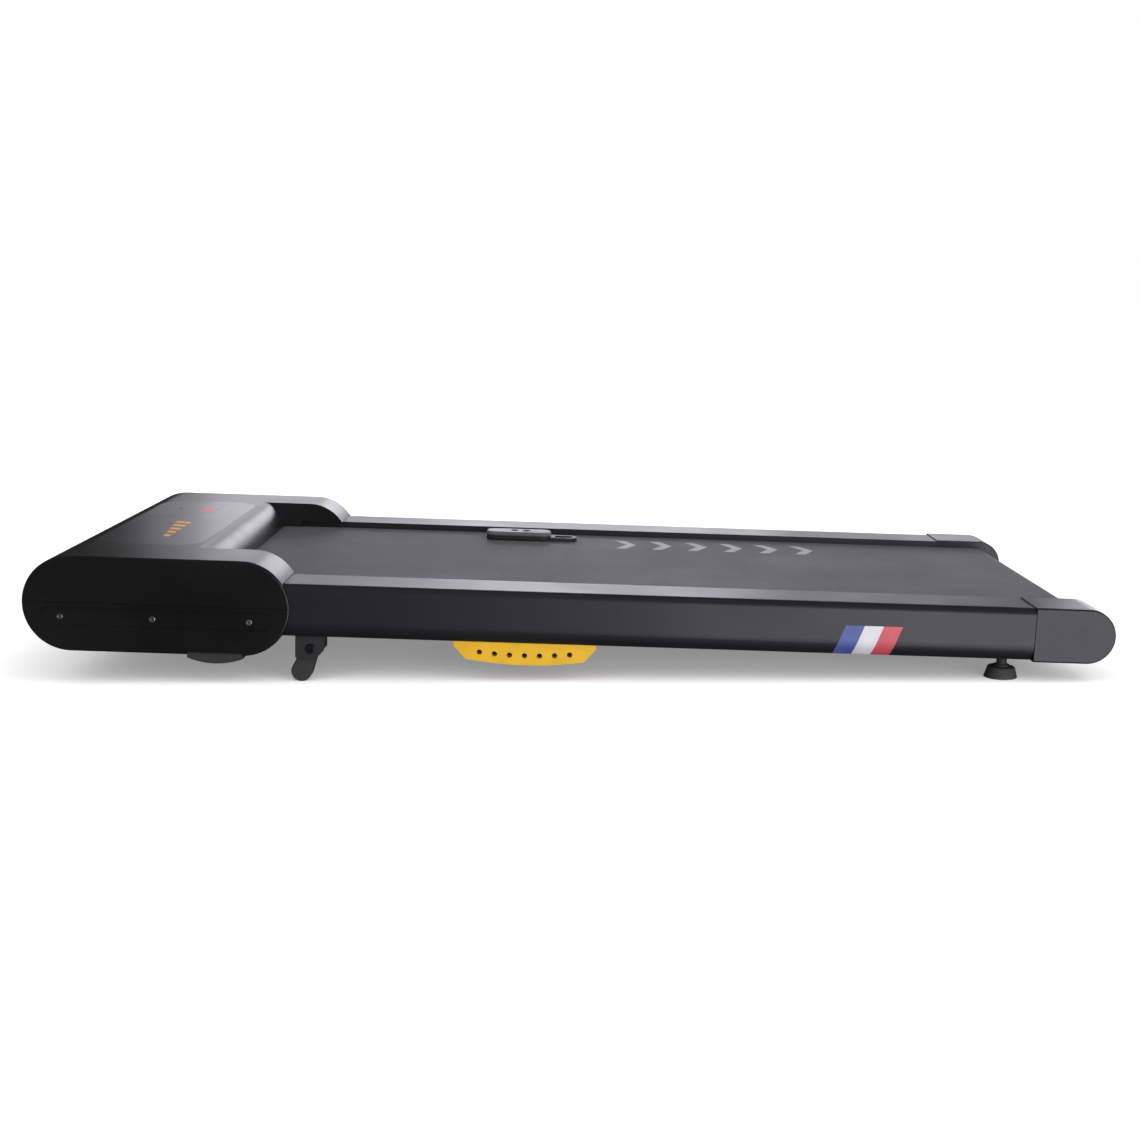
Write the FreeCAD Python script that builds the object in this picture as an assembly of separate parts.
"""Low walking-pad treadmill: motor hood, running belt and deck, side rails, feet and hand remote.

Everything is modelled level in the deck's own frame, in millimetres: X runs from the hood's nose to the
rear end, Y = 0 is the centre plane, Z = 0 is the flat top of the side rails. The left side, for a person
who faces the hood, is -Y. At the end all solids are tilted by the incline that the front legs give, and
moved so that the origin is under the middle of the whole treadmill, on the floor.
"""
import FreeCAD, Part
import math
import os
from FreeCAD import Rotation, Vector

# ---- driving dimensions ----
LENGTH = 1260.0
INCLINE = 1.94                    # degrees, hood end up
FLOOR_DROP = 127.2                # floor below the tilted deck frame's origin

RAIL_INNER = 216.0                # half width between the rails
RAIL_OUTER = 286.0
RAIL_HEIGHT = 61.0
RAIL_WALL = 2.2
RAIL_START = 240.0
RAIL_SCREWS = (275.0, 440.0, 700.0, 880.0, 1060.0)
RAIL_SCREW_Y = 252.0
SCREW_SHANK = 2.5
SCREW_HOLE = 2.6

CAP_START = 1166.6
CAP_RADIUS = 32.0                 # the cap's side view ends in a half circle
CAP_BOTTOM = -62.7
CAP_WALL = 2.4
CAP_SCREW_X = 1178.0
TENSION_Y = 246.0

HOOD_LENGTH = 307.0
HOOD_TOP = 26.0
HOOD_RADIUS = 55.5                # the hood's side view is a stadium of this end radius
HOOD_HALF = 289.5
HOOD_SKIN = 2.5
HOOD_SIDE_SKIN = 2.9
ARM_INNER = 206.0                 # half width of the opening between the hood's two arms
NOSE_RADIUS = 31.0                # the hood's top rolls down to the belt with this radius
NOSE_AXIS_X = 184.0
HOOD_SCREWS = (43.0, 149.0, 260.0)
HOOD_SCREW_Z = -45.0
HOOD_SCREW_SHANK = 1.9
SEAM_Z = -28.6                    # where the upper and lower covers meet
SKID_X = (188.6, 253.2)
SKID_Y = (256.0, 287.4)
WINDOW = (50.0, 182.0, -192.0, 198.0)
WINDOW_CORNER = 40.0
WINDOW_THICK = 1.5

BELT_HALF = 212.0
BELT_TOP = -8.0
BELT_THICK = 1.6
ROLLER_RADIUS = 22.0
ROLLER_HALF = 214.0
BELT_GAP = 0.4                    # between a roller's skin and the belt
FRONT_AXIS = 170.0
REAR_AXIS = 1221.0
TENSION_TRAVEL = 6.0              # how far the rear axle slides forward in its slots
TENSION_BOLT = 4.0
BRACKET_REAR = 1245.0
AXLE_RADIUS = 7.5
RUN = 0.05                        # radial clearance of a running fit

DECK_START = 216.0
DECK_END = 1164.0
DECK_HALF = 257.0
DECK_THICK = 15.0
ISOLATORS = (280.0, 490.0, 690.0, 890.0, 1095.0)
ISOLATOR_Y = 248.0
DECK_SCREW = 3.0
CROSS_BEAMS = (400.0, 690.0, 980.0)

TUBE_IN = 236.0
TUBE_OUT = 264.0
TUBE_TOP = -31.0
TUBE_BOTTOM = -58.5
TUBE_WALL = 2.0
TUBE_END = 1190.0
PLATE = 4.0                       # steel side plates and brackets
BAY_FRONT = 38.0
BAY_FLOOR = -76.0
BAY_TOP = -12.0

MOTOR_X = 80.0
MOTOR_Z = -29.5
MOTOR_RADIUS = 39.0
MOTOR_NEAR = -208.0
MOTOR_FAR = -60.0
MOTOR_SHAFT = 6.0
MOTOR_PULLEY = 13.0
DRIVEN_PULLEY = 38.0
PULLEY_IN = -216.0
PULLEY_OUT = -230.0

LEG_PIVOT = (329.2, -76.2)
LEG_FOOT_X = 318.4
LEG_FOOT_RADIUS = 12.0
LEG_TOP_RADIUS = 9.0
LEG_OUT = 272.6
LEG_IN = 250.4
LEG_BOLT = 4.0
LEG_GAP = 0.4                     # between a leg and its bracket's cheeks

FOOT_X = 1140.1
FOOT_Y = 250.0
FOOT_RADIUS = 19.8
FOOT_STEM = 6.0

PANEL_X = 16.0                    # front face of the steel plate that carries the inlet
PANEL_Z = -46.0
INLET_Y = 172.0
ROCKER_Y = 213.0
ROCKER_X = 20.0
ROCKER_TILT = 9.0
BREAKER_Y = 238.0
BREAKER_RADIUS = 3.5

REMOTE_X = (511.0, 602.0)
REMOTE_Y = 157.5
REMOTE_HALF = 17.0
REMOTE_BUTTONS = {"remote_start_button": 550.5, "remote_speed_button": 567.0}
REMOTE_WALL = 1.6
REMOTE_CORNER = 13.0

# ---- derived ----
AXIS_Z = BELT_TOP - BELT_THICK - BELT_GAP - ROLLER_RADIUS
HOOD_Z = HOOD_TOP - HOOD_RADIUS
HOOD_INNER = HOOD_HALF - HOOD_SIDE_SKIN
DECK_TOP = BELT_TOP - BELT_THICK - 0.3
DECK_BOTTOM = DECK_TOP - DECK_THICK
PLATE_IN = TUBE_IN - PLATE
HOOD_FLOOR = HOOD_Z - HOOD_RADIUS
BEHIND_HOOD = HOOD_LENGTH + 23.0
INLET_WINDOW = (142.0, 250.0, PANEL_Z - 13.5, PANEL_Z + 13.0)
TILT_SIN = math.sin(math.radians(INCLINE))
TILT_COS = math.cos(math.radians(INCLINE))
LEG_FOOT = (LEG_FOOT_X, (LEG_FOOT_RADIUS - FLOOR_DROP + TILT_SIN * LEG_FOOT_X) / TILT_COS)
SIDES = {"left": -1, "right": 1}
nodes = {}


# ---- building helpers ----
def box(x0, x1, y0, y1, z0, z1):
    return Part.makeBox(x1 - x0, y1 - y0, z1 - z0, Vector(x0, y0, z0))


def cyl_x(radius, y, z, x0, x1):
    return Part.makeCylinder(radius, x1 - x0, Vector(x0, y, z), Vector(1, 0, 0))


def cyl_y(radius, x, z, y0, y1):
    return Part.makeCylinder(radius, y1 - y0, Vector(x, y0, z), Vector(0, 1, 0))


def cyl_z(radius, x, y, z0, z1):
    return Part.makeCylinder(radius, z1 - z0, Vector(x, y, z0), Vector(0, 0, 1))


def ring_y(outer, inner, x, z, y0, y1):
    return cyl_y(outer, x, z, y0, y1).cut(cyl_y(inner, x, z, y0, y1))


def ring_z(outer, inner, x, y, z0, z1):
    return cyl_z(outer, x, y, z0, z1).cut(cyl_z(inner, x, y, z0, z1))


def hexagon(across_flats, centre, axis, length):
    """A hexagonal prism that starts at centre and grows along axis."""
    corner = across_flats / math.sqrt(3)
    turn = Rotation(Vector(0, 0, 1), axis)
    points = []
    for i in range(7):
        angle = math.radians(60 * i)
        points.append(centre + turn.multVec(Vector(corner * math.cos(angle), corner * math.sin(angle), 0)))
    return Part.Face(Part.makePolygon(points)).extrude(axis * length)


def solid_of(edges, direction):
    return Part.Face(Part.Wire(edges)).extrude(direction)


def prism_xz(points, y0, y1):
    loop = [Vector(x, y0, z) for x, z in points + points[:1]]
    return Part.Face(Part.makePolygon(loop)).extrude(Vector(0, y1 - y0, 0))


def hull_xz(first, r1, second, r2, y0, y1):
    """The convex outline round two circles of the side view, extruded from y0 to y1."""
    dx, dz = second[0] - first[0], second[1] - first[1]
    heading = math.atan2(dz, dx)
    spread = math.acos((r1 - r2) / math.hypot(dx, dz))

    def at(centre, radius, angle):
        return Vector(centre[0] + radius * math.cos(angle), y0, centre[1] + radius * math.sin(angle))

    a, b = at(first, r1, heading + spread), at(first, r1, heading - spread)
    c, d = at(second, r2, heading - spread), at(second, r2, heading + spread)
    edges = [Part.Arc(a, at(first, r1, heading + math.pi), b).toShape(), Part.LineSegment(b, c).toShape(),
             Part.Arc(c, at(second, r2, heading), d).toShape(), Part.LineSegment(d, a).toShape()]
    return solid_of(edges, Vector(0, y1 - y0, 0))


def loop_xz(first, r1, second, r2, thick, y0, y1):
    """A flat belt round two pulleys: its inner face has radii r1 and r2."""
    outer = hull_xz(first, r1 + thick, second, r2 + thick, y0, y1)
    return outer.cut(hull_xz(first, r1, second, r2, y0, y1))


def slab(x0, x1, y0, y1, z0, z1, radius):
    """A flat block whose four upright edges are rounded."""
    block = box(x0, x1, y0, y1, z0, z1)
    upright = [e for e in block.Edges if abs(e.Length - (z1 - z0)) < 1e-6 and e.BoundBox.ZLength > 1e-6]
    return block.makeFillet(radius, upright)


def slab_x(x0, x1, y0, y1, z0, z1, radius):
    """A plate facing X with rounded corners."""
    block = box(x0, x1, y0, y1, z0, z1)
    along = [e for e in block.Edges if e.BoundBox.XLength > (x1 - x0) * 0.99]
    return block.makeFillet(radius, along)


def soften(shape, radius, chosen):
    """Rounds the edges whose bounding box passes the test."""
    return shape.makeFillet(radius, [e for e in shape.Edges if chosen(e.BoundBox)])


def in_plane_y(y):
    return lambda b: abs(b.YMin - y) < 1e-4 and abs(b.YMax - y) < 1e-4


def fuse(shapes):
    first, rest = shapes[0], shapes[1:]
    return first.multiFuse(rest).removeSplitter() if rest else first


def cut(shape, tools):
    for tool in tools:
        shape = shape.cut(tool)
    return shape


def mirrored(shape):
    return shape.mirror(Vector(0, 0, 0), Vector(0, 1, 0))


def both_sides(shape):
    return [shape, mirrored(shape)]


def on_side(shape, side):
    """A shape modelled on the +Y side, placed on the named side."""
    return shape if SIDES[side] > 0 else mirrored(shape)


def screw(seat, axis, head_radius, head_height, shank_radius, length):
    """A pan-head screw: its head stands on seat along axis, its shank goes the other way."""
    head = Part.makeCylinder(head_radius, head_height, seat, axis)
    head = head.makeFillet(head_height * 0.45, [max(head.Edges, key=lambda e: e.CenterOfMass.dot(axis))])
    shank = Part.makeCylinder(shank_radius, length, seat - axis * length, axis)
    socket = hexagon(head_radius * 0.85, seat + axis * (head_height * 0.35), axis, head_height)
    return head.fuse(shank).removeSplitter().cut(socket)


def add(name, *shapes):
    nodes[name] = Part.makeCompound(list(shapes)) if len(shapes) > 1 else shapes[0]


# ---- steel frame ----
def add_frame():
    tube = box(DECK_START, TUBE_END, TUBE_IN, TUBE_OUT, TUBE_BOTTOM, TUBE_TOP)
    tube = tube.cut(box(DECK_START, TUBE_END, TUBE_IN + TUBE_WALL, TUBE_OUT - TUBE_WALL,
                        TUBE_BOTTOM + TUBE_WALL, TUBE_TOP - TUBE_WALL))
    holes = [cyl_z(FOOT_STEM + RUN, FOOT_X, FOOT_Y, TUBE_BOTTOM, TUBE_BOTTOM + TUBE_WALL)]
    for x in RAIL_SCREWS + (CAP_SCREW_X,):
        holes.append(cyl_z(SCREW_SHANK + RUN, x, RAIL_SCREW_Y, TUBE_BOTTOM, TUBE_BOTTOM + TUBE_WALL))
    for x in ISOLATORS:
        holes.append(cyl_z(DECK_SCREW + RUN, x, ISOLATOR_Y, TUBE_TOP - TUBE_WALL, TUBE_TOP))
    tube = cut(tube, holes)
    nut = hexagon(19.0, Vector(FOOT_X, FOOT_Y, TUBE_BOTTOM + TUBE_WALL), Vector(0, 0, 1), 8.0)
    nut = nut.cut(cyl_z(FOOT_STEM + RUN, FOOT_X, FOOT_Y, TUBE_BOTTOM, TUBE_TOP))
    for side in SIDES:
        add("side_tube_" + side, on_side(fuse([tube, nut]), side))

    outline = [(BAY_FRONT, BAY_FLOOR), (RAIL_START, BAY_FLOOR), (RAIL_START, -60.0), (300.0, -60.0),
               (300.0, TUBE_TOP), (DECK_START - 4, TUBE_TOP), (DECK_START - 4, BAY_TOP),
               (BAY_FRONT, BAY_TOP)]
    bay_plate = prism_xz(outline, PLATE_IN, TUBE_IN)
    bay_plate = bay_plate.cut(cyl_y(AXLE_RADIUS + 2 * RUN, FRONT_AXIS, AXIS_Z, PLATE_IN, TUBE_IN))
    add("motor_bay_side_plates", *both_sides(bay_plate))

    floor = box(BAY_FRONT, RAIL_START, -TUBE_IN, TUBE_IN, BAY_FLOOR - 2.0, BAY_FLOOR)
    slots = [box(150, 200, y - 3, y + 3, BAY_FLOOR - 2, BAY_FLOOR) for y in range(-150, 151, 30)]
    add("motor_bay_floor", cut(floor, slots))

    front, rear = 1130.0, BRACKET_REAR
    outline = [(front, -56.0), (rear, -52.0), (rear, BAY_TOP), (1186.0, BAY_TOP), (1170.0, -28.5),
               (front, -33.0)]
    bracket = prism_xz(outline, PLATE_IN, TUBE_IN)
    tab = box(rear - PLATE, rear, TUBE_IN, 258.0, -46.0, -18.0)
    tab = tab.cut(cyl_x(TENSION_BOLT + 0.1, TENSION_Y, AXIS_Z, rear - PLATE, rear))
    slot = hull_xz((REAR_AXIS - TENSION_TRAVEL - 0.3, AXIS_Z), AXLE_RADIUS + RUN,
                   (REAR_AXIS + 0.3, AXIS_Z), AXLE_RADIUS + RUN, PLATE_IN, TUBE_IN)
    add("rear_axle_brackets", *both_sides(bracket.fuse(tab).removeSplitter().cut(slot)))

    beams = []
    for x in CROSS_BEAMS:
        beam = box(x - 15, x + 15, -TUBE_IN, TUBE_IN, -49.0, TUBE_TOP)
        beams.append(beam.cut(box(x - 13, x + 13, -TUBE_IN, TUBE_IN, -47.0, TUBE_TOP - 2)))
    add("deck_cross_beams", *beams)


# ---- deck, its rubber mounts and the rails ----
def add_deck():
    board = box(DECK_START, DECK_END, -DECK_HALF, DECK_HALF, DECK_BOTTOM, DECK_TOP)
    ends = [e for e in board.Edges if e.BoundBox.YLength > DECK_HALF and e.BoundBox.ZMax > DECK_TOP - 1]
    board = board.makeFillet(4.0, ends)
    places = [(x, side * ISOLATOR_Y) for x in ISOLATORS for side in (-1, 1)]
    isolators, screws = [], []
    hole = DECK_SCREW + 0.2
    for x, y in places:
        board = board.cut(cyl_z(hole, x, y, DECK_BOTTOM, DECK_TOP))
        board = board.cut(Part.makeCone(hole, 2 * hole, hole, Vector(x, y, DECK_TOP - hole)))
        isolators.append(ring_z(8.0, hole, x, y, TUBE_TOP, DECK_BOTTOM))
        seat = DECK_TOP - DECK_SCREW - 0.1
        head = Part.makeCone(DECK_SCREW, 2 * DECK_SCREW, DECK_SCREW, Vector(x, y, seat))
        shank = cyl_z(DECK_SCREW, x, y, TUBE_TOP - 6, seat)
        socket = hexagon(4.0, Vector(x, y, DECK_TOP - 2), Vector(0, 0, 1), 3)
        screws.append(head.fuse(shank).removeSplitter().cut(socket))
    add("deck_board", board)
    add("deck_isolators", *isolators)
    add("deck_screws", *screws)


def rail_section():
    """The rail's closed outline at RAIL_START, on the +Y side."""
    top_r, low_r, low_z = 9.0, 26.6, -43.0
    centre_y = RAIL_OUTER - low_r
    foot_z = -RAIL_HEIGHT

    def p(y, z):
        return Vector(RAIL_START, y, z)

    def on_low(radius, z):
        return p(centre_y + math.sqrt(radius ** 2 - (z - low_z) ** 2), z)

    def on_top(radius, angle):
        corner = math.radians(angle)
        return p(RAIL_OUTER - top_r + radius * math.cos(corner), -top_r + radius * math.sin(corner))

    def line(a, b):
        return Part.LineSegment(a, b).toShape()

    inner_r, inner_low = top_r - RAIL_WALL, low_r - RAIL_WALL
    lip_z = -8.5
    flange_y = 240.0
    outer_foot, inner_foot = on_low(low_r, foot_z), on_low(inner_low, foot_z + RAIL_WALL)
    edges = [
        line(p(RAIL_INNER, 0), on_top(top_r, 90)),
        Part.Arc(on_top(top_r, 90), on_top(top_r, 45), on_top(top_r, 0)).toShape(),
        line(on_top(top_r, 0), p(RAIL_OUTER, low_z)),
        Part.Arc(p(RAIL_OUTER, low_z), on_low(low_r, -53.0), outer_foot).toShape(),
        line(outer_foot, p(flange_y, foot_z)),
        line(p(flange_y, foot_z), p(flange_y, foot_z + RAIL_WALL)),
        line(p(flange_y, foot_z + RAIL_WALL), inner_foot),
        Part.Arc(inner_foot, on_low(inner_low, -51.0), p(RAIL_OUTER - RAIL_WALL, low_z)).toShape(),
        line(p(RAIL_OUTER - RAIL_WALL, low_z), on_top(inner_r, 0)),
        Part.Arc(on_top(inner_r, 0), on_top(inner_r, 45), on_top(inner_r, 90)).toShape(),
        line(on_top(inner_r, 90), p(RAIL_INNER + RAIL_WALL, -RAIL_WALL)),
        line(p(RAIL_INNER + RAIL_WALL, -RAIL_WALL), p(RAIL_INNER + RAIL_WALL, lip_z)),
        line(p(RAIL_INNER + RAIL_WALL, lip_z), p(RAIL_INNER, lip_z)),
        line(p(RAIL_INNER, lip_z), p(RAIL_INNER, 0)),
    ]
    return edges


def add_rails():
    rail = solid_of(rail_section(), Vector(CAP_START - 0.5 - RAIL_START, 0, 0))
    low, high = -RAIL_HEIGHT, -RAIL_HEIGHT + RAIL_WALL
    holes = [cyl_z(SCREW_HOLE, x, RAIL_SCREW_Y, low, high) for x in RAIL_SCREWS]
    holes.append(cyl_z(FOOT_STEM + 0.6, FOOT_X, FOOT_Y, low, high))
    holes.append(cyl_y(HOOD_SCREW_SHANK + RUN, HOOD_SCREWS[2], HOOD_SCREW_Z, 270, RAIL_OUTER))
    rail = cut(rail, holes)
    for side in SIDES:
        add("side_rail_" + side, on_side(rail, side))
    fixings = []
    for x, z in [(x, low) for x in RAIL_SCREWS] + [(CAP_SCREW_X, CAP_BOTTOM)]:
        seat = Vector(x, RAIL_SCREW_Y, z)
        fixings += both_sides(screw(seat, Vector(0, 0, -1), 4.6, 2.8, SCREW_SHANK, 9.0))
    add("rail_and_cap_screws", *fixings)


def add_end_caps():
    radius, centre = CAP_RADIUS, (LENGTH - CAP_RADIUS, CAP_BOTTOM + CAP_RADIUS)
    wall, inner_y, outer_y = CAP_WALL, RAIL_INNER, RAIL_OUTER + 0.6

    def stadium(r, y0, y1, x0):
        straight = box(x0, centre[0], y0, y1, centre[1] - r, centre[1] + r)
        return straight.fuse(cyl_y(r, centre[0], centre[1], y0, y1)).removeSplitter()

    body = stadium(radius, inner_y, outer_y, CAP_START)
    rim = [e for e in body.Edges if in_plane_y(outer_y)(e.BoundBox) and e.BoundBox.XMax > CAP_START + 1]
    body = body.makeFillet(2.6, rim)
    rim = [e for e in body.Edges if in_plane_y(inner_y)(e.BoundBox) and e.BoundBox.XMax > CAP_START + 1]
    body = body.makeFillet(1.6, rim)
    hollow = stadium(radius - wall, inner_y + wall, outer_y - wall, CAP_START)
    boss = ring_z(5.6, SCREW_HOLE, CAP_SCREW_X, RAIL_SCREW_Y, CAP_BOTTOM + 0.5, TUBE_BOTTOM)
    slot = box(CAP_START, REAR_AXIS + 10, inner_y - 1, inner_y + wall + 1, AXIS_Z - 9.5, AXIS_Z + 9.5)
    body = body.cut(hollow).fuse(boss).removeSplitter()
    body = cut(body, [slot, cyl_x(7.0, TENSION_Y, AXIS_Z, LENGTH - 20, LENGTH + 1),
                      cyl_z(SCREW_HOLE, CAP_SCREW_X, RAIL_SCREW_Y, CAP_BOTTOM, TUBE_BOTTOM)])
    for side in SIDES:
        add("rear_end_cap_" + side, on_side(body, side))


# ---- running belt, rollers and their axles ----
def roller(x):
    tube = ring_y(ROLLER_RADIUS, ROLLER_RADIUS - 2.5, x, AXIS_Z, -ROLLER_HALF, ROLLER_HALF)
    plug = ring_y(ROLLER_RADIUS - 1, 16.0, x, AXIS_Z, ROLLER_HALF - 14, ROLLER_HALF)
    shoulder = ring_y(18.0, 11.0, x, AXIS_Z, ROLLER_HALF - 14, ROLLER_HALF - 10)
    return fuse([tube] + both_sides(plug) + both_sides(shoulder))


def bearing(x, z, inner, outer, y0, y1):
    ring = ring_y(outer, inner, x, z, y0, y1)
    for face in (y0, y1 - 0.5):
        ring = ring.cut(ring_y(outer - 2.5, inner + 2.5, x, z, face, face + 0.5))
    return ring


def add_running_gear():
    front, rear = (FRONT_AXIS, AXIS_Z), (REAR_AXIS, AXIS_Z)
    inner = ROLLER_RADIUS + BELT_GAP
    add("running_belt", loop_xz(front, inner, rear, inner, BELT_THICK, -BELT_HALF, BELT_HALF))
    for name, x in (("front", FRONT_AXIS), ("rear", REAR_AXIS)):
        add(name + "_roller", roller(x))
        one = bearing(x, AXIS_Z, AXLE_RADIUS + RUN, 16.0 - RUN, ROLLER_HALF - 10, ROLLER_HALF)
        add(name + "_roller_bearings", *both_sides(one))

    axle = cyl_y(AXLE_RADIUS, FRONT_AXIS, AXIS_Z, -240, 240)
    bore = cyl_y(4.0 + RUN, FRONT_AXIS, AXIS_Z, 218, 240)
    add("front_axle", cut(axle, both_sides(bore)))
    bolt = screw(Vector(FRONT_AXIS, 241.5, AXIS_Z), Vector(0, 1, 0), 6.5, 5.0, 4.0, 20.0)
    washer = ring_y(11.0, 4.0, FRONT_AXIS, AXIS_Z, 240, 241.5)
    add("front_axle_bolts", *both_sides(bolt.fuse(washer).removeSplitter()))

    axle = cyl_y(AXLE_RADIUS, REAR_AXIS, AXIS_Z, -254, 254)
    bore = cyl_x(TENSION_BOLT + RUN, TENSION_Y, AXIS_Z, REAR_AXIS - 10, REAR_AXIS + 10)
    add("rear_axle", cut(axle, both_sides(bore)))
    seat = Vector(BRACKET_REAR, TENSION_Y, AXIS_Z)
    add("tension_bolts", *both_sides(screw(seat, Vector(1, 0, 0), 6.5, 7.0, TENSION_BOLT, 42.0)))


# ---- motor and drive ----
def grooved_pulley(x, z, radius, bore, hub, hub_end):
    """A poly-V pulley between PULLEY_OUT and PULLEY_IN with two flanges; its hub reaches hub_end."""
    body = cyl_y(radius + 3.5, x, z, PULLEY_OUT, PULLEY_IN)
    body = body.cut(ring_y(radius + 4, radius, x, z, PULLEY_OUT + 1.2, PULLEY_IN - 1.2))
    for k in range(4):
        y = PULLEY_OUT + 3.1 + 2.34 * k
        body = body.cut(ring_y(radius + 1, radius - 1.2, x, z, y, y + 0.9))
    body = body.fuse(cyl_y(hub, x, z, PULLEY_IN, hub_end)).removeSplitter()
    return body.cut(cyl_y(bore, x, z, PULLEY_OUT, hub_end))


def add_motor():
    x, z = MOTOR_X, MOTOR_Z
    near, far = MOTOR_NEAR, MOTOR_FAR
    add("motor_housing", ring_y(MOTOR_RADIUS, MOTOR_RADIUS - 3, x, z, near + 12, far - 12))
    bells, rings = [], []
    for y0, pocket, y1 in ((near, near + 2, near + 12), (far - 12, far - 12, far)):
        bell = cyl_y(MOTOR_RADIUS, x, z, y0, y1).cut(cyl_y(8.0, x, z, y0, y1))
        bell = bell.cut(cyl_y(16.0, x, z, pocket, pocket + 10))
        bells.append(bell)
        rings.append(bearing(x, z, MOTOR_SHAFT + RUN, 16.0 - RUN, pocket, pocket + 10))
    add("motor_end_bells", *bells)
    add("motor_bearings", *rings)

    magnets = []
    for k in range(4):
        ring = ring_y(MOTOR_RADIUS - 3.1, 31.0, x, z, near + 28, far - 28)
        wedge = Part.makeCylinder(40, 200, Vector(x, near, z), Vector(0, 1, 0), 72)
        wedge.rotate(Vector(x, 0, z), Vector(0, 1, 0), 90 * k)
        magnets.append(ring.common(wedge))
    add("motor_magnets", *magnets)

    shaft, core = MOTOR_SHAFT, 29.5
    rotor = fuse([cyl_y(shaft, x, z, PULLEY_OUT - 1, far + 16), cyl_y(core, x, z, near + 30, far - 30),
                  cyl_y(14.0, x, z, far - 26, far - 15)])
    for k in range(12):
        angle = math.radians(30 * k)
        sx, sz = x + core * math.cos(angle), z + core * math.sin(angle)
        rotor = rotor.cut(cyl_y(2.0, sx, sz, near + 30, far - 30))
    add("motor_rotor", rotor)
    add("motor_pulley", grooved_pulley(x, z, MOTOR_PULLEY, shaft + RUN, 9.0, PULLEY_IN + 2))

    fan = [ring_y(35.0, shaft + RUN, x, z, far + 13, far + 15),
           ring_y(11.0, shaft + RUN, x, z, far + 4, far + 13)]
    for k in range(8):
        blade = box(x + 10, x + 34, far + 5, far + 13, z - 1, z + 1)
        blade.rotate(Vector(x, 0, z), Vector(0, 1, 0), 45 * k)
        fan.append(blade)
    add("motor_fan", fuse(fan))

    plate = box(x - 35, x + 35, near - PLATE, near, BAY_FLOOR, z + 34)
    base = box(x - 35, x + 35, near, near + 24, BAY_FLOOR, BAY_FLOOR + 3)
    mount = plate.fuse(base).removeSplitter().cut(cyl_y(12.0, x, z, near - PLATE, near))
    add("motor_mount", mount)

    bore, hub = AXLE_RADIUS + 1, 20.0
    driven = grooved_pulley(FRONT_AXIS, AXIS_Z, DRIVEN_PULLEY, bore, hub, -ROLLER_HALF)
    add("driven_pulley", driven)
    slack = 0.3
    add("drive_belt", loop_xz((x, z), MOTOR_PULLEY + slack, (FRONT_AXIS, AXIS_Z), DRIVEN_PULLEY + slack,
                              2.4, PULLEY_OUT + 1.8, PULLEY_IN - 1.8))


def add_controller():
    x0, x1, y0, y1 = 42.0, 118.0, -30.0, 120.0
    sink = [box(x0, x1, y0, y1, BAY_FLOOR, BAY_FLOOR + 3)]
    for k in range(15):
        y = y0 + 12 + 9 * k
        sink.append(box(x0 + 10, x1 - 10, y, y + 2, BAY_FLOOR + 3, BAY_FLOOR + 10))
    corners = [(x, y) for x in (x0 + 4, x1 - 4) for y in (y0 + 5, y1 - 5)]
    sink += [cyl_z(3.0, x, y, BAY_FLOOR + 3, BAY_FLOOR + 14) for x, y in corners]
    add("controller_heatsink", fuse(sink))
    low = BAY_FLOOR + 14
    top = low + 1.6
    board = [box(x0, x1, y0, y1, low, top),
             cyl_z(11.0, 60, 95, top, top + 32), cyl_z(11.0, 60, 68, top, top + 32),
             box(84, 112, 80, 102, top, top + 16), box(50, 72, 10, 30, top, top + 12),
             ring_z(14.0, 7.0, 96, 45, top, top + 12), box(46, 58, -24, -4, top, top + 10),
             box(100, 114, -22, 16, top, top + 12)]
    add("controller_board", *board)


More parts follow.
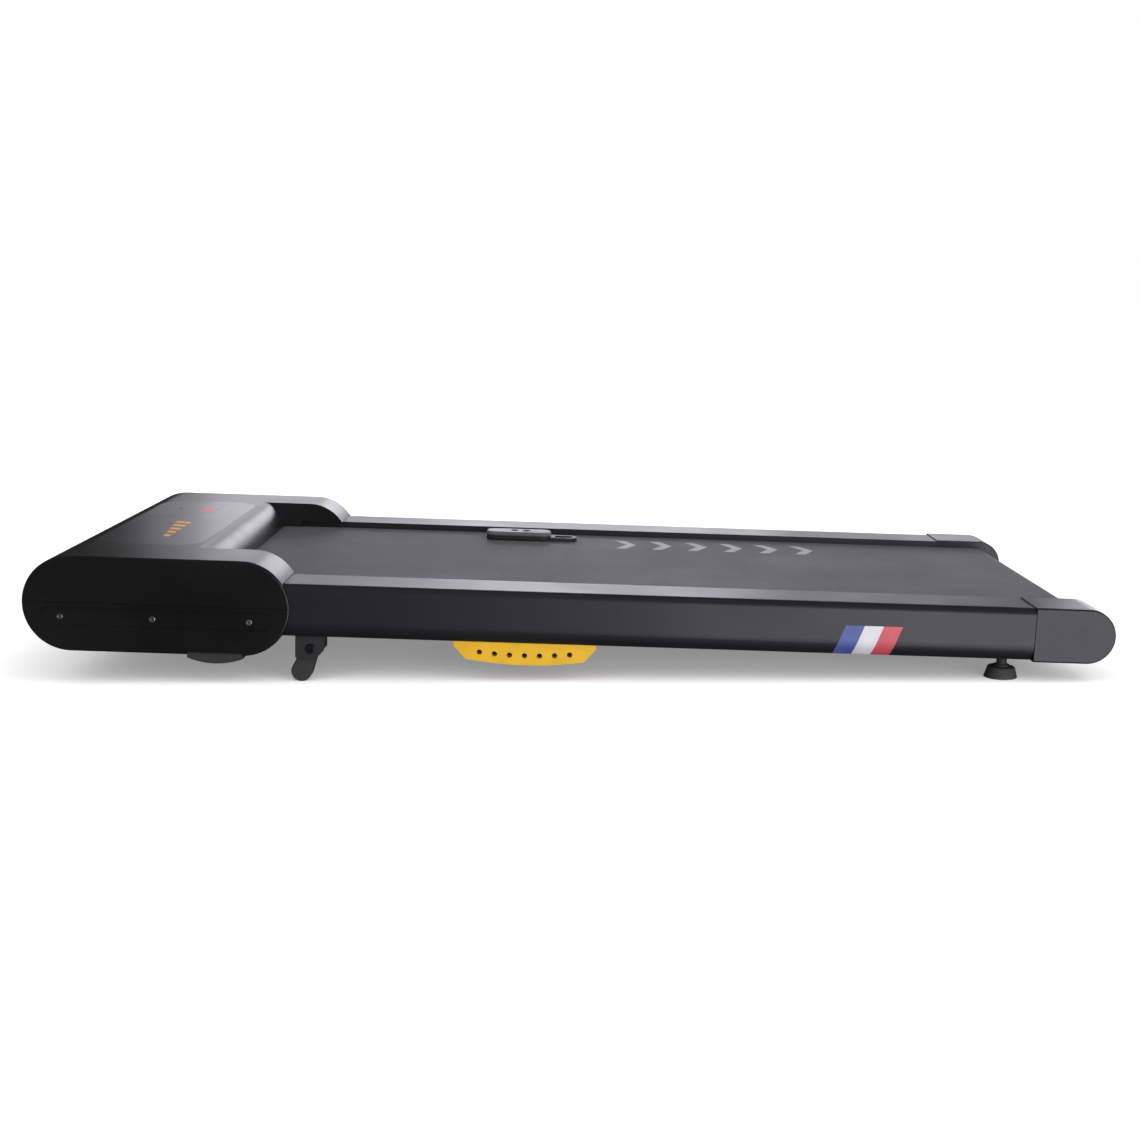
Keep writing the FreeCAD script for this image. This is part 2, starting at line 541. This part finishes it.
# ---- power entry ----
def add_power_entry():
    px, pz = PANEL_X, PANEL_Z
    front = px - 2.5
    panel = box(px, px + 1.5, 138, 254, pz - 15.5, pz + 14.5)
    openings = [box(px, px + 1.5, INLET_Y - 14, INLET_Y + 14, pz - 10.4, pz + 10.4),
                box(px, px + 1.5, ROCKER_Y - 9.8, ROCKER_Y + 9.8, pz - 6.4, pz + 6.4),
                cyl_x(5.7, BREAKER_Y, pz, px, px + 1.5)]
    add("inlet_panel", cut(panel, openings))

    flange = slab_x(front, px, INLET_Y - 24, INLET_Y + 24, pz - 11.5, pz + 11.5, 4.0)
    shell = box(px, px + 22, INLET_Y - 13.7, INLET_Y + 13.7, pz - 10, pz + 10)
    socket = box(front, px + 15, INLET_Y - 12, INLET_Y + 12, pz - 8.2, pz + 8.2)
    add("power_inlet", flange.fuse(shell).removeSplitter().cut(socket))
    pins = []
    for dy, dz in ((0, 3.2), (-7, -2.2), (7, -2.2)):
        y, z = INLET_Y + dy, pz + dz
        pins.append(box(px + 4, px + 15, y - 1, y + 1, z - 2, z + 2))
        pins.append(box(px + 22, px + 28, y - 0.4, y + 0.4, z - 3, z + 3))
    add("inlet_pins", *pins)

    flange = slab_x(front, px, ROCKER_Y - 11.5, ROCKER_Y + 11.5, pz - 8, pz + 8, 2.0)
    shell = box(px, px + 18, ROCKER_Y - 9.6, ROCKER_Y + 9.6, pz - 6.2, pz + 6.2)
    well = box(front, px + 13, ROCKER_Y - 8, ROCKER_Y + 8, pz - 5, pz + 5)
    pivot = cyl_z(1.55, ROCKER_X, ROCKER_Y, pz - 6.0, pz + 6.0)
    add("switch_housing", cut(flange.fuse(shell).removeSplitter(), [well, pivot]))
    outline = [(-6.5, -6.6), (0.0, -6.0), (4.0, -2.5), (4.0, 2.5), (0.0, 6.0), (-6.5, 6.6), (-5.3, 0.0)]
    loop = [Vector(ROCKER_X + u, ROCKER_Y + v, pz - 4.6) for u, v in outline + outline[:1]]
    paddle = Part.Face(Part.makePolygon(loop)).extrude(Vector(0, 0, 9.2))
    paddle = paddle.fuse(cyl_z(1.5, ROCKER_X, ROCKER_Y, pz - 5.8, pz + 5.8)).removeSplitter()
    paddle.rotate(Vector(ROCKER_X, ROCKER_Y, pz), Vector(0, 0, 1), ROCKER_TILT)
    add("power_rocker", paddle)

    nut = hexagon(14.0, Vector(front, BREAKER_Y, pz), Vector(1, 0, 0), 2.5)
    neck = cyl_x(5.5, BREAKER_Y, pz, px, px + 1.5)
    body = cyl_x(7.5, BREAKER_Y, pz, px + 1.5, px + 20)
    bore = cyl_x(BREAKER_RADIUS + RUN, BREAKER_Y, pz, front, px + 17)
    add("breaker_body", nut.fuse(neck).fuse(body).removeSplitter().cut(bore))
    button = cyl_x(BREAKER_RADIUS, BREAKER_Y, pz, front - 1.5, px + 16)
    button = button.makeFillet(0.8, [min(button.Edges, key=lambda e: e.BoundBox.XMax)])
    add("breaker_button", button)


# ---- motor hood ----
def hood_stadium(inset, half):
    r = HOOD_RADIUS - inset
    ends = (HOOD_RADIUS, HOOD_Z), (HOOD_LENGTH - HOOD_RADIUS, HOOD_Z)
    return hull_xz(ends[0], r, ends[1], r, -half, half)


def throat(inset, half):
    """The open space above the belt between the hood's arms; the hood's nose curves down to it."""
    r = NOSE_RADIUS - inset
    cx, cz, floor, sky, rear = NOSE_AXIS_X, HOOD_TOP - NOSE_RADIUS, BELT_TOP + 1.0, 60.0, BEHIND_HOOD
    slope = math.sqrt(0.5)

    def p(x, z):
        return Vector(x, -half, z)

    edges = [Part.LineSegment(p(cx, sky), p(cx, cz + r)).toShape(),
             Part.Arc(p(cx, cz + r), p(cx + slope * r, cz + slope * r), p(cx + r, cz)).toShape(),
             Part.LineSegment(p(cx + r, cz), p(cx + r, floor)).toShape(),
             Part.LineSegment(p(cx + r, floor), p(rear, floor)).toShape(),
             Part.LineSegment(p(rear, floor), p(rear, sky)).toShape(),
             Part.LineSegment(p(rear, sky), p(cx, sky)).toShape()]
    return solid_of(edges, Vector(0, 2 * half, 0))


def add_hood():
    outer = hood_stadium(0, HOOD_HALF)
    for y in (-HOOD_HALF, HOOD_HALF):
        outer = soften(outer, 2.4, in_plane_y(y))
    shell = outer.cut(throat(0, ARM_INNER))
    cavity = hood_stadium(HOOD_SKIN, HOOD_INNER).cut(throat(HOOD_SKIN, ARM_INNER + HOOD_SKIN))
    shell = shell.cut(cavity)
    rail_way = box(RAIL_START, BEHIND_HOOD, -HOOD_INNER, HOOD_INNER, -62.0, 0.4)
    shell = shell.cut(rail_way)

    x0, x1, y0, y1 = WINDOW
    upper = shell.common(box(-5, BEHIND_HOOD, -300, 300, SEAM_Z + 0.2, 60))
    seat = HOOD_TOP - WINDOW_THICK
    upper = upper.cut(slab(x0, x1, y0, y1, seat - RUN, HOOD_TOP + 2, WINDOW_CORNER))
    add("hood_upper_cover", upper)
    gap = 0.25
    add("display_window", slab(x0 + gap, x1 - gap, y0 + gap, y1 - gap, seat, HOOD_TOP, WINDOW_CORNER - gap))

    below_seam = box(-5, BEHIND_HOOD, -300, 300, -100, SEAM_Z - 0.2)
    lower = shell.common(below_seam)
    extras = []
    for x in HOOD_SCREWS[:2]:
        extras += both_sides(cyl_y(5.0, x, HOOD_SCREW_Z, 276, HOOD_INNER + 0.5))
    extras += both_sides(box(SKID_X[0] - 3, SKID_X[1] + 2, SKID_Y[0] - 3, HOOD_INNER + 0.5,
                             HOOD_FLOOR + 1, HOOD_FLOOR + 5.6))
    wy0, wy1, wz0, wz1 = INLET_WINDOW
    bezel = box(-2, PANEL_X, wy0 - 2, wy1 + 2, wz0 - 2, wz1 + 2)
    extras.append(bezel.common(outer).common(below_seam))
    lower = lower.multiFuse(extras).removeSplitter()
    cuts = [box(-2, PANEL_X, wy0, wy1, wz0, wz1)]
    recess_y = HOOD_HALF - 1.6
    recess = hull_xz((31.0, -44.0), 11.0, (274.0, -44.0), 11.0, recess_y, HOOD_HALF + 1)
    cuts += both_sides(recess)
    for x in HOOD_SCREWS:
        cuts += both_sides(cyl_y(HOOD_SCREW_SHANK + RUN, x, HOOD_SCREW_Z, 270, HOOD_HALF))
    pocket = box(SKID_X[0] - 0.2, SKID_X[1] + 0.2, SKID_Y[0] - 0.2, HOOD_HALF + 1, HOOD_FLOOR - 3,
                 HOOD_FLOOR + 3)
    cuts += both_sides(pocket)
    add("hood_lower_cover", cut(lower, cuts))
    add("skid_pads", *both_sides(skid_pad()))
    fixings = []
    for x in HOOD_SCREWS:
        fixings += both_sides(screw(Vector(x, recess_y, HOOD_SCREW_Z), Vector(0, 1, 0), 3.9, 1.5,
                                    HOOD_SCREW_SHANK, 11.0))
    add("hood_screws", *fixings)

    low = HOOD_TOP - HOOD_SKIN - 6.0
    board = [box(80, 150, -20, 145, low, low + 1.6), box(116, 135, 84, 136, low + 1.6, low + 5.7),
             box(84, 91, 112, 120, low + 1.6, low + 5.0)]
    add("display_board", *board)


def skid_pad():
    """A rubber block with an upright edge and a shallow arched sole."""
    top, edge, sole = HOOD_FLOOR + 3.0, -89.0, -95.2
    x0, x1 = SKID_X
    y0, y1 = SKID_Y

    def p(x, z):
        return Vector(x, y0, z)

    edges = [Part.LineSegment(p(x0, edge), p(x0, top)).toShape(),
             Part.LineSegment(p(x0, top), p(x1, top)).toShape(),
             Part.LineSegment(p(x1, top), p(x1, edge)).toShape(),
             Part.Arc(p(x1, edge), p((x0 + x1) / 2, sole), p(x0, edge)).toShape()]
    pad = solid_of(edges, Vector(0, y1 - y0, 0))
    return soften(pad, 1.2, in_plane_y(y1))


# ---- feet ----
def add_legs():
    x0, x1, top = 311.5, 344.6, -RAIL_HEIGHT
    cheek = [(x0, top), (x1, top), (x1, -78.1), (335.8, -88.2), (x0 + 1.5, -88.2), (x0, -86.7)]
    steel = 3.0
    inside, outside = LEG_IN - LEG_GAP, LEG_OUT + LEG_GAP
    outer_cheek = prism_xz(cheek, outside, outside + steel)
    inner_cheek = prism_xz(cheek, inside - steel, inside)
    roof = box(x0, x1, inside - steel, outside + steel, top - steel, top)
    stop = box(x0, x0 + steel, inside - steel, outside + steel, -83.0, top)
    bracket = fuse([outer_cheek, inner_cheek, roof, stop])
    px, pz = LEG_PIVOT
    bracket = bracket.cut(cyl_y(LEG_BOLT + 0.1, px, pz, LEG_IN - 5, LEG_OUT + 5))
    add("leg_brackets", *both_sides(bracket))
    leg = hull_xz(LEG_FOOT, LEG_FOOT_RADIUS, LEG_PIVOT, LEG_TOP_RADIUS, LEG_IN, LEG_OUT)
    leg = soften(leg, 1.2, in_plane_y(LEG_OUT))
    leg = soften(leg, 1.2, in_plane_y(LEG_IN))
    leg = leg.cut(cyl_y(LEG_BOLT + RUN, px, pz, LEG_IN, LEG_OUT))
    for side in SIDES:
        add("incline_leg_" + side, on_side(leg, side))
    head_seat = Vector(px, outside + steel, pz)
    bolt = screw(head_seat, Vector(0, 1, 0), 5.6, 2.6, LEG_BOLT, outside - inside + 2 * steel)
    tail = hexagon(11.0, Vector(px, inside - steel, pz), Vector(0, -1, 0), 4.0)
    add("leg_pivot_bolts", *both_sides(bolt.fuse(tail).removeSplitter()))


def add_bumpers():
    middle, half, top = 577.7, 82.9, -RAIL_HEIGHT
    y0, y1 = 249.0, 278.6

    def p(dx, z):
        return Vector(middle + dx, y0, z)

    corner, shoulder, low = 68.8, -66.0, -81.7
    pairs = [(p(half - 0.5, top), p(half, shoulder)), (p(half, shoulder), p(corner, low)),
             (p(-corner, low), p(-half, shoulder)), (p(-half, shoulder), p(-half + 0.5, top)),
             (p(-half + 0.5, top), p(half - 0.5, top))]
    lines = [Part.LineSegment(a, b).toShape() for a, b in pairs]
    sole = Part.Arc(p(corner, low), p(0, -87.3), p(-corner, low)).toShape()
    body = solid_of(Part.__sortEdges__(lines + [sole]), Vector(0, y1 - y0, 0))
    upright = [e for e in body.Edges if e.BoundBox.YLength > 20 and e.BoundBox.ZMax < -64]
    body = body.makeFillet(2.5, upright)
    holes = []
    for k in range(-3, 4):
        x = middle + 17.45 * k
        z = -76.2 + 0.3 * k * k
        holes.append(cyl_y(3.2, x, z, y0, y1))
    add("elastomer_bumpers", *both_sides(cut(body, holes)))


def add_rear_feet():
    stem = cyl_z(FOOT_STEM, FOOT_X, FOOT_Y, -77.0, -40.0)
    stem = stem.makeChamfer(1.2, [max(stem.Edges, key=lambda e: e.BoundBox.ZMin)])
    pad = Part.makeCone(FOOT_RADIUS + 0.35, 15.7, 15.5, Vector(FOOT_X, FOOT_Y, -91.5))
    pad = pad.makeFillet(1.6, [max(pad.Edges, key=lambda e: e.BoundBox.ZMin)])
    collar = cyl_z(9.0, FOOT_X, FOOT_Y, -76.5, -73.5)
    foot = fuse([stem, pad, collar])
    below = box(-2000, 3000, -400, 400, -400, 0)
    below.translate(Vector(0, 0, -FLOOR_DROP))
    below.rotate(Vector(0, 0, 0), Vector(0, 1, 0), -INCLINE)
    foot = foot.cut(below)
    for side in SIDES:
        add("levelling_foot_" + side, on_side(foot, side))


# ---- hand remote, lying on the belt ----
def add_remote():
    x0, x1 = REMOTE_X
    y0, y1 = REMOTE_Y - REMOTE_HALF, REMOTE_Y + REMOTE_HALF
    low, split, high = BELT_TOP + 0.1, BELT_TOP + 7.5, BELT_TOP + 12.6
    wall, corner = REMOTE_WALL, REMOTE_CORNER
    base = slab(x0, x1, y0, y1, low, split, corner)
    base = soften(base, 2.0, lambda b: b.ZMax < low + 0.01)
    eye_x, eye_r, eye_z = x1 + 24.0, 13.0, (low + 0.4, low + 5.4)
    eye = box(x1 - 3, eye_x, REMOTE_Y - eye_r, REMOTE_Y + eye_r, *eye_z)
    eye = eye.fuse(cyl_z(eye_r, eye_x, REMOTE_Y, *eye_z)).removeSplitter()
    hole = box(x1 + 6, eye_x, REMOTE_Y - 8, REMOTE_Y + 8, *eye_z).fuse(cyl_z(8.0, eye_x, REMOTE_Y, *eye_z))
    inside = slab(x0 + wall, x1 - wall, y0 + wall, y1 - wall, low + wall, split, corner - wall)
    add("remote_base", cut(base.fuse(eye).removeSplitter(), [hole.removeSplitter(), inside]))

    top = slab(x0, x1, y0, y1, split, high, corner)
    top = soften(top, 2.4, lambda b: b.ZMin > high - 0.01)
    top = top.cut(slab(x0 + wall, x1 - wall, y0 + wall, y1 - wall, split, high - wall, corner - wall))
    for name, x in REMOTE_BUTTONS.items():
        top = top.cut(cyl_z(5.3, x, REMOTE_Y, split, high))
        key = cyl_z(5.0, x, REMOTE_Y, high - 2.6, high + 0.7)
        key = key.makeFillet(0.5, [max(key.Edges, key=lambda e: e.BoundBox.ZMin)])
        add(name, key)
    add("remote_top", top)
    add("remote_battery", cyl_z(10.0, 535.0, REMOTE_Y, low + wall, low + wall + 3.2))


# ---- the whole treadmill, tilted and set on the floor ----
def tilted(shape):
    copy = shape.copy()
    copy.rotate(Vector(0, 0, 0), Vector(0, 1, 0), INCLINE)
    return copy


def main():
    for build in (add_frame, add_deck, add_rails, add_end_caps, add_running_gear, add_motor, add_controller,
                  add_power_entry, add_hood, add_legs, add_bumpers, add_rear_feet, add_remote):
        build()
    placed = {name: tilted(shape) for name, shape in nodes.items()}
    whole = Part.makeCompound(list(placed.values())).optimalBoundingBox(False)
    shift = Vector(-(whole.XMin + whole.XMax) / 2, 0, FLOOR_DROP)
    os.makedirs("parts", exist_ok=True)
    for name, shape in placed.items():
        shape.translate(shift)
        shape.exportStep("parts/" + name + ".step")
    print(len(placed), "sub-parts written")


main()
